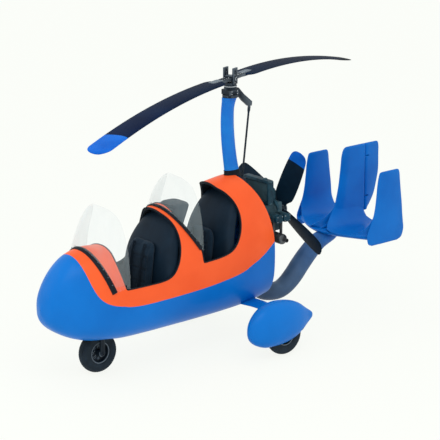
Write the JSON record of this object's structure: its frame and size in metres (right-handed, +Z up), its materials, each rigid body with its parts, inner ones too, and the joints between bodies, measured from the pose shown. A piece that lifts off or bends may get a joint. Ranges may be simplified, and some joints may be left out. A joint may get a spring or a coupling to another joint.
{
  "type": "two-seat gyrocopter",
  "caption": "Open tandem two-seat gyrocopter with an egg-shaped pod, teetering rotor on a mast, pusher propeller, low tail boom with fins and faired main wheels.",
  "frame": {"origin": "on the ground under the rotor axis, on the centreline", "axes": "+X forward to the nose, +Y to port, +Z up"},
  "size_m": [4.5519, 1.8189, 2.73],
  "materials": {
    "blue_paint": "gloss",
    "orange_paint": "gloss",
    "boom_paint": "satin",
    "dark_composite": "satin",
    "upholstery": "woven",
    "clear_sheet": "clear",
    "blade_composite": "satin",
    "dark_metal": "satin",
    "bright_metal": "machined",
    "black_plastic": "grained",
    "tyre_rubber": "matte"
  },
  "bodies": {
    "airframe": {"lower_fuselage": "blue_paint", "upper_fuselage": "orange_paint", "cockpit_floor": "dark_composite", "firewall": "dark_composite", "front_seat_shell": "dark_composite", "front_seat_cushion": "upholstery", "front_backrest": "upholstery", "rear_seat_shell": "dark_composite", "rear_seat_cushion": "upholstery", "rear_backrest": "upholstery", "instrument_panel": "black_plastic", "front_windshield": "clear_sheet", "rear_windshield": "clear_sheet", "control_sticks": "black_plastic", "rudder_pedals": "bright_metal", "mast": "blue_paint", "rotor_head": "dark_metal", "control_rod": "dark_metal", "engine_block": "dark_metal", "engine_cylinders": "dark_metal", "gearbox": "bright_metal", "exhaust": "bright_metal", "radiator": "dark_metal", "engine_mount": "dark_metal", "tail_boom": "boom_paint", "stabiliser": "blue_paint", "port_fin": "blue_paint", "starboard_fin": "blue_paint", "centre_fin": "blue_paint", "main_gear_bow": "blue_paint", "main_axles": "bright_metal", "port_wheel_fairing": "blue_paint", "starboard_wheel_fairing": "blue_paint", "nose_steering_head": "bright_metal"},
    "rotor_hub": {"teeter_tower": "dark_metal"},
    "rotor": {"rotor_hub_bar": "dark_metal", "blue_tip_rotor_blade": "blade_composite", "plain_rotor_blade": "blade_composite"},
    "propeller": {"propeller_hub": "dark_metal", "propeller_blades": "blade_composite"},
    "rudder_body": {"rudder": "blue_paint"},
    "steered_fork": {"nose_fork": "bright_metal"},
    "nose_wheel": {"nose_tyre": "tyre_rubber", "nose_wheel_rim": "bright_metal"},
    "port_wheel": {"port_tyre": "tyre_rubber", "port_wheel_rim": "bright_metal"},
    "starboard_wheel": {"starboard_tyre": "tyre_rubber", "starboard_wheel_rim": "bright_metal"}
  },
  "joints": [
    {"name": "rotor_spin", "type": "hinge", "parent": "airframe", "child": "rotor_hub", "pos_m": [0, 0, 2.5], "axis": [0, 0, 1], "continuous": true},
    {"name": "rotor_teeter", "type": "hinge", "parent": "rotor_hub", "child": "rotor", "pos_m": [0, 0, 2.625], "axis": [-0.342, 0.9397, 0], "range_deg": [-8, 8]},
    {"name": "propeller_spin", "type": "hinge", "parent": "airframe", "child": "propeller", "pos_m": [-0.652, 0, 1.2], "axis": [1, 0, 0], "continuous": true},
    {"name": "rudder_hinge", "type": "hinge", "parent": "airframe", "child": "rudder_body", "pos_m": [-1.85, 0, 1.3], "axis": [0, 0, 1], "range_deg": [-25, 25]},
    {"name": "nose_steer", "type": "hinge", "parent": "airframe", "child": "steered_fork", "pos_m": [1.67, 0, 0.4], "axis": [0, 0, 1], "range_deg": [-30, 30]},
    {"name": "nose_wheel_spin", "type": "hinge", "parent": "steered_fork", "child": "nose_wheel", "pos_m": [1.65, 0, 0.2], "axis": [0, 1, 0], "continuous": true},
    {"name": "port_wheel_spin", "type": "hinge", "parent": "airframe", "child": "port_wheel", "pos_m": [-0.04, 0.76, 0.2], "axis": [0, 1, 0], "continuous": true},
    {"name": "starboard_wheel_spin", "type": "hinge", "parent": "airframe", "child": "starboard_wheel", "pos_m": [-0.04, -0.76, 0.2], "axis": [0, 1, 0], "continuous": true}
  ]
}
